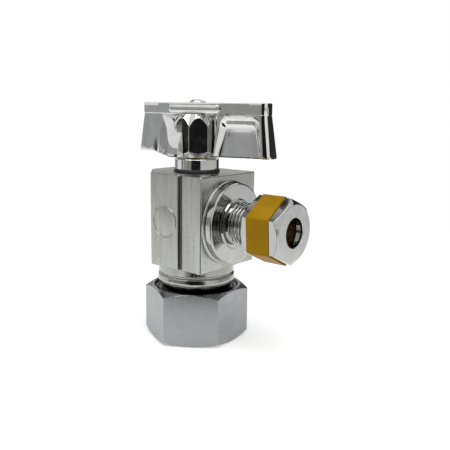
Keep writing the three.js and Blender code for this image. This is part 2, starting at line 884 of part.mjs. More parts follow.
add("inlet_nut", inletNutSolid(), materials.satinChrome);
add(
  "outlet_ferrule",
  sleeve(outlet.tubeRadius + SEAT, outletSleeve, outletSleeve.start, outletSleeve.end, alongX),
  materials.brass,
);
add("outlet_nut", outletNutSolid(), materials.brightChrome);
add("size_band", sizeBand(), materials.yellow);

export default group;
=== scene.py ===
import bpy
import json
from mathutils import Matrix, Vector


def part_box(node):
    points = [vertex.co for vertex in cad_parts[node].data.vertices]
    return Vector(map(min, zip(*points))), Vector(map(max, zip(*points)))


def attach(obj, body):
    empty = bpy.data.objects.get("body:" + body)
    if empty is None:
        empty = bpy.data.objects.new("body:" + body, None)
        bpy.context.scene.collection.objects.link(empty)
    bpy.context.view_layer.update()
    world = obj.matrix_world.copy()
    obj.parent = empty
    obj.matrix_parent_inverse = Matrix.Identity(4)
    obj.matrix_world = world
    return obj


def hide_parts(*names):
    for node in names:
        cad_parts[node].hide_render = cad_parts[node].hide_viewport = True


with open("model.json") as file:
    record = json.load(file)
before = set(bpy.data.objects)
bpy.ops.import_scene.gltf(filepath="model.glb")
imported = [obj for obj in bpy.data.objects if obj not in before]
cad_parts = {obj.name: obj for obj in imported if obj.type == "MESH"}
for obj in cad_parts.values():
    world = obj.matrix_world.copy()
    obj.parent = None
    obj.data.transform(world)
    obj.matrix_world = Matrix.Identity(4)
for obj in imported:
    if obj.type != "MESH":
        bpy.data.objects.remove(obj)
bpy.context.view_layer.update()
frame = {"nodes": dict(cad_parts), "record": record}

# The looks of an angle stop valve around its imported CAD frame. Shapes are drawn in millimetres and put in the
# scene in metres. The inlet axis is Z, and the outlet points along +X.
import json
import math

import bmesh
import bpy
import numpy as np
from mathutils import Matrix, Vector

MM = 0.001
TAU = 2 * math.pi


def box_mm(node):
    """A CAD node's lowest and highest corners, in millimetres."""
    low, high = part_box(node)
    return low / MM, high / MM


# ---- Sizes taken from the frame ----
BODY_LOW, BODY_HIGH = box_mm("valve_body")
_, NUT_HIGH = box_mm("inlet_nut")
ADAPTER_LOW, ADAPTER_HIGH = box_mm("outlet_adapter")
OUT_NUT_LOW, OUT_NUT_HIGH = box_mm("outlet_nut")
BAND_LOW, BAND_HIGH = box_mm("size_band")
BONNET_LOW, BONNET_HIGH = box_mm("bonnet")
GASKET_LOW, GASKET_HIGH = box_mm("bonnet_gasket")
HANDLE_LOW, HANDLE_HIGH = box_mm("handle")
SCREW_LOW, SCREW_HIGH = box_mm("handle_screw")
INLET_SLEEVE_LOW, INLET_SLEEVE_HIGH = box_mm("inlet_ferrule")
OUTLET_SLEEVE_LOW, OUTLET_SLEEVE_HIGH = box_mm("outlet_ferrule")
OUTLET_Z = (ADAPTER_LOW.z + ADAPTER_HIGH.z) / 2

# ---- Sizes of the surfaces ----
INCH = 25.4
INLET_PITCH = INCH / 18
INLET_THREAD = 10.3
INLET_FLATS = 23.81
INLET_CORNER = math.radians(34.3)
TUBE_SOCKET = 8.04
OUTLET_PITCH = INCH / 24
OUTLET_THREAD = 5.56
OUTLET_FLATS = 14.15
OUTLET_CORNER = math.radians(3.85)
OUTLET_SOCKET = 3.28
OUTLET_BORE = 2.6
THREAD_DEPTH = 0.58  # of the pitch
THREAD_GAP = 0.25
THREAD_ROWS = 12  # in each pitch of a thread
BLOCK_BOTTOM = 19.8
BEAD_FOOT, BEAD_TOP = 14.75, 17.2
GROOVE_X, GROOVE_HALF, GROOVE_DEPTH = 3.9, 0.8, 0.6
FLANGE_RADIUS = ADAPTER_HIGH.y
FLANGE_BACK = BODY_HIGH.x
FLANGE_FACE = FLANGE_BACK + 2.6
OUTLET_THREAD_START = FLANGE_FACE + 0.7
CHAMBER_RADIUS = 8.6
CHAMBER_END = -7.6
BEYOND = 1  # how far a cutter stands out of what it cuts


# ---- Mesh tools ----
MERGE_DISTANCE = 0.0005
FILLET_SHARE = 0.45  # the most of an edge that one fillet takes
NEAR_STEPS = 4  # on each side of a polygon's corner
ROUND_STEPS, THREAD_STEPS, BORE_STEPS = 96, 144, 64
GRAZING = 0.02  # a side that faces a ray less than this is passed over
CREST_PLACE, CREST_HALF, FLANK = 0.6, 0.1, 0.3  # of a thread's turn


def clamp(value):
    return max(0.0, min(1.0, value))


def ease(value):
    """Goes smoothly from 0 to 1."""
    value = clamp(value)
    return value * value * (3 - 2 * value)


def new_object(name, vertices, faces):
    mesh = bpy.data.meshes.new(name)
    mesh.from_pydata([tuple(v * MM for v in vertex) for vertex in vertices], [], faces)
    mesh.validate()
    obj = bpy.data.objects.new(name, mesh)
    bpy.context.scene.collection.objects.link(obj)
    return obj


def tidy_mesh(obj):
    """Merges the points that meet on an axis and turns every face outwards."""
    mesh = bmesh.new()
    mesh.from_mesh(obj.data)
    bmesh.ops.remove_doubles(mesh, verts=mesh.verts, dist=MERGE_DISTANCE * MM)
    bmesh.ops.recalc_face_normals(mesh, faces=mesh.faces)
    mesh.to_mesh(obj.data)
    mesh.free()
    return obj


def surface(name, rings, rows, columns, caps=()):
    """Faces between so many rows and columns of ring points, the last of which may close on the first."""
    count = len(rings[0])
    vertices = [point for ring in rings for point in ring]
    faces = list(caps)
    for i in range(rows):
        j = (i + 1) % len(rings)
        for k in range(columns):
            n = (k + 1) % count
            faces.append((i * count + k, j * count + k, j * count + n, i * count + n))
    return tidy_mesh(new_object(name, vertices, faces))


def skin(name, rings):
    """A surface over closed rings of points, with a flat face on the first ring and on the last."""
    count, last = len(rings[0]), len(rings) - 1
    caps = [tuple(range(count)), tuple(reversed(range(last * count, (last + 1) * count)))]
    return surface(name, rings, last, count, caps)


def on_z(radius, height, angle):
    return (radius * math.cos(angle), radius * math.sin(angle), height)


def on_x(radius, height, angle):
    """Angle 0 points up, as a hexagon's first corner does. Heights run along +X."""
    return (height, -radius * math.sin(angle), OUTLET_Z + radius * math.cos(angle))


def turned(name, angles, profile, place_on=on_z, closed=True):
    """A turned surface. The profile gives its (radius, height) points at an angle. One that isn't closed
    starts and ends on the axis."""
    rings = [[place_on(r, h, angle) for r, h in profile(angle)] for angle in angles]
    count = len(rings[0])
    return surface(name, rings, len(rings), count if closed else count - 1)


def even_angles(count):
    return [TAU * i / count for i in range(count)]


def rounded(points, steps=4):
    """A closed outline of (x, y, fillet) points with each corner rounded by its fillet radius."""
    result = []
    count = len(points)
    for i, (x, y, fillet) in enumerate(points):
        here = np.array((x, y))
        if fillet <= 0:
            result.append((x, y))
            continue
        before = np.array(points[i - 1][:2]) - here
        after = np.array(points[(i + 1) % count][:2]) - here
        before_length, after_length = np.linalg.norm(before), np.linalg.norm(after)
        before, after = before / before_length, after / after_length
        half = math.acos(max(-1, min(1, float(before @ after)))) / 2
        reach = min(fillet / math.tan(half), FILLET_SHARE * before_length, FILLET_SHARE * after_length)
        radius = reach * math.tan(half)
        bisector = before + after
        centre = here + bisector / np.linalg.norm(bisector) * math.hypot(radius, reach)
        start, end = here + before * reach - centre, here + after * reach - centre
        for step in range(steps + 1):
            mix = start * (1 - step / steps) + end * (step / steps)
            result.append(tuple(centre + mix / np.linalg.norm(mix) * radius))
    return result


def polygon_radius(normals, distances, fillet):
    """A function that gives a convex polygon's radius at an angle, with its corners rounded.
    The polygon is given by the angles of its sides' normals, and how far each side is from the axis."""
    count = len(normals)
    corners = []
    for i in range(count):
        j = (i + 1) % count
        rows = np.array([[math.cos(n), math.sin(n)] for n in (normals[i], normals[j])])
        corners.append(np.linalg.solve(rows, np.array([distances[i] - fillet, distances[j] - fillet])))

    def radius(angle):
        ray = np.array((math.cos(angle), math.sin(angle)))
        best, side = math.inf, 0
        for i in range(count):
            facing = math.cos(angle - normals[i])
            if facing > GRAZING and distances[i] / facing < best:
                best, side = distances[i] / facing, i
        along = np.array((-math.sin(normals[side]), math.cos(normals[side])))
        spot = best * (ray @ along)
        for corner, beyond in ((corners[side], 1), (corners[side - 1], -1)):
            if beyond * (spot - corner @ along) > 0:
                reach = ray @ corner
                return reach + math.sqrt(max(0, reach * reach - corner @ corner + fillet * fillet))
        return best

    return radius


def corner_angles(corners, spread, between):
    """Angles round a polygon: close together at its corners, and evenly spaced between them."""
    angles = []
    corners = sorted(c % TAU for c in corners)
    for i, corner in enumerate(corners):
        following = corners[(i + 1) % len(corners)] + (TAU if i == len(corners) - 1 else 0)
        angles += [corner + spread * k / NEAR_STEPS for k in range(-NEAR_STEPS, NEAR_STEPS + 1)]
        start, end = corner + spread, following - spread
        angles += [start + (end - start) * (k + 1) / (between + 1) for k in range(between)]
    return angles


def thread_radius(height, angle, major, pitch, start, end, lead):
    """A screw thread's radius, with its ridge fading to the smallest radius at both ends."""
    turn = (height - start) / pitch - angle / TAU
    share = turn - math.floor(turn)
    ridge = clamp((CREST_HALF + FLANK - abs(share - CREST_PLACE)) / FLANK)
    ridge = (ease(ridge) + ridge) / 2
    fade = clamp((height - start) / lead) * clamp((end - height) / lead)
    return major - THREAD_DEPTH * pitch * (1 - ridge * fade)


def thread_rows(start, end, pitch):
    """The heights of a thread's rows of points, from start to end."""
    rows = int(abs(end - start) / pitch * THREAD_ROWS)
    return [start + (end - start) * i / rows for i in range(rows + 1)]


def thread_line(angle, heights, *thread):
    """The (radius, height) points of a thread at an angle."""
    return [(thread_radius(height, angle, *thread), height) for height in heights]


def boolean(obj, cutter, operation="DIFFERENCE"):
    modifier = obj.modifiers.new("cut", "BOOLEAN")
    modifier.object = cutter
    modifier.operation = operation
    modifier.solver = "EXACT"
    bpy.context.view_layer.update()
    evaluated = obj.evaluated_get(bpy.context.evaluated_depsgraph_get())
    mesh = bpy.data.meshes.new_from_object(evaluated)
    obj.modifiers.clear()
    old = obj.data
    obj.data = mesh
    bpy.data.meshes.remove(old)
    bpy.data.objects.remove(cutter)
    return obj


def smooth(obj, sharp=50):
    """Smooth shading that keeps flat faces flat and sharp edges sharp."""
    mesh = obj.data
    mesh.polygons.foreach_set("use_smooth", [True] * len(mesh.polygons))
    mesh.set_sharp_from_angle(angle=math.radians(sharp))
    modifier = obj.modifiers.new("weighted", "WEIGHTED_NORMAL")
    modifier.keep_sharp = True
    modifier.weight = 100
    return obj


# ---- Materials ----
def principled(name, metallic=0.0):
    material = bpy.data.materials.new(name)
    material.use_nodes = True
    nodes, links = material.node_tree.nodes, material.node_tree.links
    shader = nodes["Principled BSDF"]
    shader.inputs["Metallic"].default_value = metallic
    return material, nodes, links, shader


def noise(nodes, links, scale, stretch=(1, 1, 1), detail=4.0):
    """Noise in object space. Scale is in features a metre, and stretch squeezes it along each axis."""
    coordinates = nodes.new("ShaderNodeTexCoord")
    mapping = nodes.new("ShaderNodeMapping")
    mapping.inputs["Scale"].default_value = stretch
    texture = nodes.new("ShaderNodeTexNoise")
    texture.inputs["Scale"].default_value = scale
    texture.inputs["Detail"].default_value = detail
    links.new(coordinates.outputs["Object"], mapping.inputs["Vector"])
    links.new(mapping.outputs["Vector"], texture.inputs["Vector"])
    return texture.outputs["Fac"]


def as_color(value):
    return (*value, 1) if isinstance(value, tuple) else (value, value, value, 1)


def ramp(nodes, links, source, low, high, start=0.35, end=0.65):
    """Turns noise into a colour or a grey level between low and high."""
    node = nodes.new("ShaderNodeValToRGB")
    first, second = node.color_ramp.elements
    first.position, second.position = start, end
    first.color, second.color = as_color(low), as_color(high)
    links.new(source, node.inputs["Fac"])
    return node.outputs["Color"]


def bump(nodes, links, shader, source, strength, depth_mm):
    """Adds a relief to the shader, on top of any that it has."""
    node = nodes.new("ShaderNodeBump")
    node.inputs["Strength"].default_value = strength
    node.inputs["Distance"].default_value = depth_mm * MM
    links.new(source, node.inputs["Height"])
    previous = shader.inputs["Normal"].links
    if previous:
        links.new(previous[0].from_socket, node.inputs["Normal"])
    links.new(node.outputs["Normal"], shader.inputs["Normal"])


def vary(nodes, links, shader, source, tones, roughness):
    """Lets colour and roughness each drift between two values as one noise does."""
    links.new(ramp(nodes, links, source, *tones), shader.inputs["Base Color"])
    links.new(ramp(nodes, links, source, *roughness), shader.inputs["Roughness"])


def height_above(nodes, links):
    """How high a point of the piece is."""
    coordinates = nodes.new("ShaderNodeTexCoord")
    split = nodes.new("ShaderNodeSeparateXYZ")
    links.new(coordinates.outputs["Object"], split.inputs[0])
    return split.outputs["Z"]


def distance_from_axis(nodes, links):
    """How far a point of the piece is from the inlet's axis."""
    coordinates = nodes.new("ShaderNodeTexCoord")
    flat = nodes.new("ShaderNodeVectorMath")
    flat.operation = "MULTIPLY"
    flat.inputs[1].default_value = (1, 1, 0)
    length = nodes.new("ShaderNodeVectorMath")
    length.operation = "LENGTH"
    links.new(coordinates.outputs["Object"], flat.inputs[0])
    links.new(flat.outputs["Vector"], length.inputs[0])
    return length.outputs["Value"]


def distance_from_groove(nodes, links):
    """How far a point of the block is from the nearer of its two upright grooves."""
    coordinates = nodes.new("ShaderNodeTexCoord")
    split = nodes.new("ShaderNodeSeparateXYZ")
    side = nodes.new("ShaderNodeMath")
    side.operation = "ABSOLUTE"
    flat = nodes.new("ShaderNodeCombineXYZ")
    distance = nodes.new("ShaderNodeVectorMath")
    distance.operation = "DISTANCE"
    distance.inputs[1].default_value = (GROOVE_X * MM, BODY_HIGH.y * MM, 0)
    links.new(coordinates.outputs["Object"], split.inputs[0])
    links.new(split.outputs["X"], flat.inputs["X"])
    links.new(split.outputs["Y"], side.inputs[0])
    links.new(side.outputs[0], flat.inputs["Y"])
    links.new(flat.outputs["Vector"], distance.inputs[0])
    return distance.outputs["Value"]


def fade_in(nodes, links, length, start_mm, end_mm, low):
    """Goes from low to 1 as a length goes from start to end."""
    fade = nodes.new("ShaderNodeMapRange")
    fade.inputs["From Min"].default_value = start_mm * MM
    fade.inputs["From Max"].default_value = end_mm * MM
    fade.inputs["To Min"].default_value = low
    fade.inputs["To Max"].default_value = 1
    links.new(length, fade.inputs["Value"])
    return fade.outputs["Result"]


def multiply_color(nodes, links, color, factor):
    """The numbered sockets are a Mix node's two colours and its result."""
    mix = nodes.new("ShaderNodeMix")
    mix.data_type = "RGBA"
    mix.blend_type = "MULTIPLY"
    mix.inputs["Factor"].default_value = 1
    links.new(color, mix.inputs[6])
    links.new(factor, mix.inputs[7])
    return mix.outputs[2]


def multiply_value(nodes, links, value, factor):
    product = nodes.new("ShaderNodeMath")
    product.operation = "MULTIPLY"
    links.new(value, product.inputs[0])
    links.new(factor, product.inputs[1])
    return product.outputs[0]


def drawn_chrome():
    """Satin chrome over drawn bar: fine upright lines, soft clouds and a few specks. The bead under the block
    is glossier, the grooves are darkened with painted shade, and below the bead's foot the neck and thread are
    darkened almost to black with painted shade."""
    # The first two are tones of painted shade; the bead's gloss is a roughness.
    painted_shade_tone, painted_groove_shade_tone, bead_gloss = 0.06, 0.22, 0.6
    material, nodes, links, shader = principled("drawn_chrome", metallic=1)
    lines = noise(nodes, links, scale=1500, stretch=(1, 1, 0.035), detail=5)
    clouds = noise(nodes, links, scale=160, stretch=(1, 1, 0.5), detail=3)
    specks = noise(nodes, links, scale=1900, detail=2)
    # Painted shade: nearly black below the bead's foot, where the gap above the nut lies in shade.
    below_bead_painted_shade = fade_in(nodes, links, height_above(nodes, links), BEAD_FOOT - 0.35, BEAD_FOOT + 0.1, painted_shade_tone)
    # Painted shade: darkens the block's two upright grooves.
    groove_painted_shade = fade_in(
        nodes, links, distance_from_groove(nodes, links), GROOVE_HALF - 0.1, GROOVE_HALF + 0.05, painted_groove_shade_tone
    )
    tone = ramp(nodes, links, lines, (0.37, 0.375, 0.35), (0.46, 0.465, 0.44))
    tone = multiply_color(nodes, links, tone, ramp(nodes, links, clouds, 0.88, 1.0))
    tone = multiply_color(nodes, links, tone, ramp(nodes, links, specks, 1.0, 0.35, start=0.68, end=0.74))
    # Painted shade below the bead's foot.
    tone = multiply_color(nodes, links, tone, below_bead_painted_shade)
    # Painted shade in the grooves.
    tone = multiply_color(nodes, links, tone, groove_painted_shade)
    links.new(tone, shader.inputs["Base Color"])
    above_bead = fade_in(nodes, links, height_above(nodes, links), BEAD_TOP, BEAD_TOP + 1.2, bead_gloss)
    gloss = multiply_value(nodes, links, ramp(nodes, links, lines, 0.24, 0.34), above_bead)
    links.new(gloss, shader.inputs["Roughness"])
    bump(nodes, links, shader, lines, strength=0.15, depth_mm=0.012)
    pits = ramp(nodes, links, specks, 0.0, 1.0, start=0.66, end=0.8)
    bump(nodes, links, shader, pits, strength=0.35, depth_mm=0.03)
    return material


def nut_chrome():
    """Even satin chrome with soft clouding, darkened with painted shade inside the nut's mouth and thread."""
    painted_shade_edge, shade_free_edge, painted_shade_tone = 10.75, 11.1, 0.22
    material, nodes, links, shader = principled("nut_chrome", metallic=1)
    clouds = noise(nodes, links, scale=220, detail=5)
    grain = noise(nodes, links, scale=5200, detail=2)
    # Painted shade: all that lies nearer the axis than the thread's crest is darkened, because the nut's inside
    # lies in shade.
    outside = fade_in(nodes, links, distance_from_axis(nodes, links), painted_shade_edge, shade_free_edge, painted_shade_tone)
    tone = ramp(nodes, links, clouds, (0.28, 0.285, 0.29), (0.33, 0.335, 0.34))
    # Painted shade inside the nut.
    links.new(multiply_color(nodes, links, tone, outside), shader.inputs["Base Color"])
    links.new(ramp(nodes, links, clouds, 0.22, 0.32), shader.inputs["Roughness"])
    bump(nodes, links, shader, grain, strength=0.12, depth_mm=0.01)
    return material


def polished_chrome():
    """Mirror chrome with the slight waviness and faint haze of buffed plate."""
    material, nodes, links, shader = principled("polished_chrome", metallic=1)
    haze = noise(nodes, links, scale=420)
    waves = noise(nodes, links, scale=130, detail=1)
    tones = (0.60, 0.60, 0.59), (0.67, 0.67, 0.66)
    vary(nodes, links, shader, haze, tones, roughness=(0.035, 0.10))
    bump(nodes, links, shader, waves, strength=0.10, depth_mm=0.05)
    return material


def bright_nut_chrome():
    """Bright plate over a machined nut: duller than the handle's, and clear enough to mirror the flange."""
    material, nodes, links, shader = principled("bright_nut_chrome", metallic=1)
    haze = noise(nodes, links, scale=420)
    tones = (0.39, 0.395, 0.38), (0.44, 0.445, 0.43)
    vary(nodes, links, shader, haze, tones, roughness=(0.07, 0.14))
    return material


def yellow_film():
    """A thin mustard plastic sleeve, slightly uneven and less than glossy."""
    material, nodes, links, shader = principled("yellow_film")
    shader.inputs["Specular IOR Level"].default_value = 0.06
    clouds = noise(nodes, links, scale=300, stretch=(0.4, 1, 1))
    tones = (0.32, 0.172, 0.003), (0.38, 0.210, 0.005)
    vary(nodes, links, shader, clouds, tones, roughness=(0.32, 0.46))
    bump(nodes, links, shader, clouds, strength=0.2, depth_mm=0.05)
    return material


def plain(name, tones, roughness, scale, metallic=0.0, depth=0.01):
    """A material whose colour and roughness drift between two values."""
    material, nodes, links, shader = principled(name, metallic)
    grain = noise(nodes, links, scale)
    vary(nodes, links, shader, grain, tones, roughness)
    bump(nodes, links, shader, grain, strength=0.2, depth_mm=depth)
    return material


BRASS_TONES = (0.42, 0.29, 0.10), (0.58, 0.42, 0.17)
SEAT_TONES = (0.80, 0.79, 0.75), (0.88, 0.87, 0.84)
RUBBER_TONES = (0.012, 0.012, 0.013), (0.03, 0.03, 0.03)
STEEL_TONES = (0.52, 0.53, 0.54), (0.62, 0.63, 0.64)
MATERIALS = {
    "satin_chrome": drawn_chrome(),
    "nut_chrome": nut_chrome(),
    "bright_chrome": polished_chrome(),
    "bright_nut": bright_nut_chrome(),
    "yellow_band": yellow_film(),
    "brass": plain("turned_brass", BRASS_TONES, (0.22, 0.38), 500, metallic=1),
    "white_seat": plain("seat_plastic", SEAT_TONES, (0.4, 0.55), 300),
    "black_rubber": plain("black_rubber", RUBBER_TONES, (0.45, 0.65), 700, depth=0.02),
    "steel": plain("plated_steel", STEEL_TONES, (0.15, 0.28), 600, metallic=1),
}


def dress(obj, slot):
    obj.data.materials.clear()
    obj.data.materials.append(MATERIALS[slot])


def place(obj, body, slot, *nodes, finish=None):
    """Gives a piece its finish, and puts it on its body in place of its CAD nodes."""
    dress(obj, finish or slot)
    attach(obj, body)
    if nodes:
        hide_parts(*nodes)
    return obj


# ---- Valve body ----
CHAMFER_X, CHAMFER_Y = 6.3, 6.8
GROOVE_STEPS = 6  # from a groove's middle to its edge
GROOVE_LIP = 0.05
THREAD_TOP, THREAD_FADE, THREAD_RUNOUT = 13.4, 0.9, 0.6
RELIEF_RADIUS = 9.2
BEAD_RADIUS, BEAD_MIDDLE = 10.25, 15.9
UNDERCUT_RADIUS = 9.45
NECK_RADIUS = 9.75
STEM_BORE = 5.3
SOCKET_TOP, SOCKET_FOOT, SOCKET_MOUTH = 15.2, 8.8, 9.0
STAMP_X, STAMP_Z, STAMP_RADIUS = -1.2, 31.6, 4.1
STAMP_LINE, STAMP_DEPTH, DISC_DEPTH = 0.4, 0.2, 0.06


def block_outline():
    """The block's plan as (angle, radius) pairs, with its two round-bottomed grooves."""
    front, rear, half = BODY_HIGH.x, -BODY_LOW.x, BODY_HIGH.y
    slant = math.atan2(CHAMFER_X, CHAMFER_Y)
    cut_x = rear - CHAMFER_X
    chamfer = cut_x * math.cos(slant) + half * math.sin(slant)
    normals = [0, math.pi / 2, math.pi - slant, math.pi, math.pi + slant, 1.5 * math.pi]
    plan = polygon_radius(normals, [front, half, chamfer, rear, chamfer, half], fillet=0.35)
    corners = [(front, half), (-cut_x, half), (-rear, half - CHAMFER_Y)]
    turns = [math.atan2(y, x) for x, y in corners]
    angles = corner_angles(turns + [-turn for turn in turns], spread=0.05, between=14)
    pairs = [(angle % TAU, plan(angle)) for angle in angles]
    edge = GROOVE_HALF + GROOVE_LIP
    low, high = math.atan2(half, GROOVE_X + edge), math.atan2(half, GROOVE_X - edge)
    pairs = [pair for pair in pairs if not low < min(pair[0], TAU - pair[0]) < high]
    arc = (GROOVE_HALF**2 + GROOVE_DEPTH**2) / (2 * GROOVE_DEPTH)
    offsets = [GROOVE_HALF * step / GROOVE_STEPS for step in range(-GROOVE_STEPS, GROOVE_STEPS + 1)]
    for across in [-edge] + offsets + [edge]:
        sunk = math.sqrt(max(0, arc**2 - across**2)) - (arc - GROOVE_DEPTH)
        x, y = GROOVE_X + across, half - max(0, sunk)
        for sign in (-1, 1):
            pairs.append((math.atan2(sign * y, x) % TAU, math.hypot(x, y)))
    return sorted(pairs)


def valve_body():
    """The block with its neck, its threaded inlet and the chamber for the ball."""
    plan = block_outline()
    walls = dict(plan)
    top, thread_end = BODY_HIGH.z, BODY_LOW.z
    heights = thread_rows(thread_end, THREAD_TOP, INLET_PITCH)
    thread = INLET_THREAD, INLET_PITCH, thread_end, THREAD_TOP + THREAD_RUNOUT, THREAD_FADE

    def profile(angle):
        edge = walls[angle]
        outer = rounded(
            [
                (RELIEF_RADIUS, THREAD_TOP + 0.1, 0.0),
                (RELIEF_RADIUS, BEAD_FOOT - 0.15, 0.1),
                (BEAD_RADIUS - 0.3, BEAD_FOOT, 0.15),
                (BEAD_RADIUS, BEAD_MIDDLE, 0.9),
                (BEAD_RADIUS - 0.25, BEAD_TOP - 0.25, 0.35),
                (UNDERCUT_RADIUS, BEAD_TOP, 0.1),
                (UNDERCUT_RADIUS + 0.05, BEAD_TOP + 0.3, 0.1),
                (NECK_RADIUS + 0.2, BEAD_TOP + 0.55, 0.2),
                (NECK_RADIUS, BLOCK_BOTTOM, 0.25),
                (edge, BLOCK_BOTTOM, 0.3),
                (edge, top, 0.3),
                (STEM_BORE + 0.7, top, 0.0),
                (STEM_BORE, top, 0.0),
                (STEM_BORE, OUTLET_Z, 0.0),
                (STEM_BORE + 0.1, SOCKET_TOP + 1.2, 0.0),
                (TUBE_SOCKET, SOCKET_TOP, 0.0),
                (TUBE_SOCKET, SOCKET_FOOT, 0.0),
                (SOCKET_MOUTH, thread_end, 0.0),
            ],
        )
        return thread_line(angle, heights, *thread) + outer

    body = turned("valve_body_shell", [angle for angle, _ in plan], profile)
    outside = FLANGE_BACK + BEYOND
    chamber_line = [(0, CHAMBER_END), (CHAMBER_RADIUS, CHAMBER_END), (CHAMBER_RADIUS, outside), (0, outside)]
    boolean(body, turned("chamber", even_angles(ROUND_STEPS), lambda angle: chamber_line, on_x))
    boolean(body, stamp_cutter())
    smooth(body, sharp=40)
    return place(body, "valve", "satin_chrome", "valve_body")


def stamp_cutter():
    """The bare round mark on the left face: a shallow ring round a plain disc."""
    inside = STAMP_RADIUS - STAMP_LINE
    section = rounded(
        [
            (0, -DISC_DEPTH, 0.0),
            (inside - 0.1, -DISC_DEPTH, 0.02),
            (inside, -STAMP_DEPTH, 0.03),
            (STAMP_RADIUS - 0.1, -STAMP_DEPTH, 0.03),
            (STAMP_RADIUS, 0.0, 0.0),
            (STAMP_RADIUS, BEYOND, 0.0),
            (0, BEYOND, 0.0),
        ],
        steps=3,
    )

    def on_face(radius, out, angle):
        across, up = radius * math.cos(angle), radius * math.sin(angle)
        return (STAMP_X + across, -BODY_HIGH.y - out, STAMP_Z + up)

    return turned("stamp", even_angles(ROUND_STEPS), lambda angle: section, on_face)


# ---- Hexagon nuts ----
INLET_MOUTH, INLET_CREST, MOUTH_DEPTH = 11.15, 10.75, 0.75
INLET_FLOOR, INLET_THREAD_FOOT, INLET_CONE = 2.6, 6.5, 8.7
INLET_RELIEF, RELIEF_FOOT = 9.0, 5.2
INLET_SLOPE, OUTLET_SLOPE = 0.53, 0.75  # of the cut that rounds each end of a hexagon
OUTLET_MOUTH, OUTLET_CREST = 6.1, 5.85
OUTLET_THREAD_END, OUTLET_FLOOR = 26.2, 28.4
SEAT_WIDE, SEAT_NARROW = 5.0, 3.6  # of the cone that presses on the sleeve
BAND_GAP, BAND_WALL = 0.03, 0.25


def hexagon(flats, corner, fillet):
    """A hexagon's radius at an angle, and the angles to draw it at."""
    sides = range(6)
    turn = TAU / len(sides)
    normals = [corner + turn / 2 + i * turn for i in sides]
    angles = corner_angles([corner + i * turn for i in sides], spread=0.03, between=16)
    return polygon_radius(normals, [flats / 2] * len(sides), fillet), angles


def inlet_nut():
    plan, angles = hexagon(INLET_FLATS, INLET_CORNER, fillet=0.3)
    top, face = NUT_HIGH.z, INLET_FLATS / 2 - 0.25
    socket = TUBE_SOCKET + 0.02
    thread_end = top - MOUTH_DEPTH - 0.15
    heights = thread_rows(thread_end, INLET_THREAD_FOOT, INLET_PITCH)
    turns_below = math.ceil((BODY_LOW.z - INLET_THREAD_FOOT) / INLET_PITCH)
    phase = BODY_LOW.z - turns_below * INLET_PITCH
    # The end is past the last row, so that the thread is whole at the mouth.
    thread = INLET_THREAD + THREAD_GAP, INLET_PITCH, phase, thread_end + THREAD_FADE, THREAD_FADE

    def profile(angle):
        wall = plan(angle)
        drop = (wall - face) * INLET_SLOPE
        outer = rounded(
            [
                (INLET_RELIEF, RELIEF_FOOT, 0.0),
                (INLET_CONE, INLET_FLOOR, 0.0),
                (socket, INLET_FLOOR - 0.05, 0.05),
                (socket, 0.6, 0.1),
                (INLET_CONE, 0.0, 0.1),
                (face, 0.0, 0.15),
                (wall, drop, 0.15),
                (wall, top - drop, 0.15),
                (face, top, 0.12),
                (INLET_MOUTH, top, 0.1),
                (INLET_CREST, top - MOUTH_DEPTH, 0.1),
            ],
        )
        return outer + thread_line(angle, heights, *thread)

    nut = turned("inlet_nut_shell", angles, profile)
    smooth(nut, sharp=40)
    return place(nut, "inlet_nut", "nut_chrome", "inlet_nut")


def outlet_nut():
    plan, angles = hexagon(OUTLET_FLATS, OUTLET_CORNER, fillet=0.22)
    rear, front = OUT_NUT_LOW.x, OUT_NUT_HIGH.x
    face = OUTLET_FLATS / 2 - 0.35
    past_end = OUTLET_THREAD_END + THREAD_FADE
    thread = OUTLET_THREAD + THREAD_GAP, OUTLET_PITCH, OUTLET_THREAD_START, past_end, THREAD_FADE
    heights = thread_rows(rear + 0.7, OUTLET_THREAD_END, OUTLET_PITCH)

    def profile(angle):
        wall = plan(angle)
        drop = (wall - face) * OUTLET_SLOPE
        outer = rounded(
            [
                (SEAT_WIDE, OUTLET_THREAD_END + 0.2, 0.0),
                (SEAT_NARROW, OUTLET_FLOOR, 0.1),
                (OUTLET_SOCKET, OUTLET_FLOOR + 0.05, 0.0),
                (OUTLET_SOCKET, front - 1.6, 0.0),
                (OUTLET_SOCKET + 0.26, front - 1.2, 0.0),
                (OUTLET_SOCKET + 0.3, front - 0.12, 0.04),
                (OUTLET_SOCKET + 0.42, front, 0.04),
                (face, front, 0.12),
                (wall, front - drop, 0.12),
                (wall, rear + drop * 0.6, 0.1),
                (face, rear, 0.1),
                (OUTLET_MOUTH, rear, 0.1),
                (OUTLET_CREST, rear + 0.5, 0.0),
            ],
        )
        return thread_line(angle, heights, *thread) + outer

    nut = turned("outlet_nut_shell", angles, profile, on_x)
    smooth(nut, sharp=40)
    return place(nut, "outlet_nut", "bright_chrome", "outlet_nut", finish="bright_nut")


def size_band():
    """The yellow sleeve round the outlet nut."""
    inner, angles = hexagon(OUTLET_FLATS + 2 * BAND_GAP, OUTLET_CORNER, fillet=0.3)
    outer, _ = hexagon(OUTLET_FLATS + 2 * (BAND_GAP + BAND_WALL), OUTLET_CORNER, fillet=0.5)

    def profile(angle):
        return rounded(
            [
                (inner(angle), BAND_LOW.x, 0.0),
                (outer(angle), BAND_LOW.x, 0.08),
                (outer(angle), BAND_HIGH.x, 0.08),
                (inner(angle), BAND_HIGH.x, 0.0),
            ],
            steps=3,
        )

    band = turned("size_band_sleeve", angles, profile, on_x)
    smooth(band, sharp=40)
    return place(band, "outlet_nut", "yellow_band", "size_band")


# ---- Outlet adapter ----
PLUG_RADIUS = CHAMBER_RADIUS - 0.1
SEAL_GROOVE = 8.1, 9.1
SEAL_DEPTH = 0.8
STOP_X = 16.9  # where the tube stops
OUTLET_FADE = 0.7
STUB_COLLAR, STUB_ROOT = 6.3, 5.1


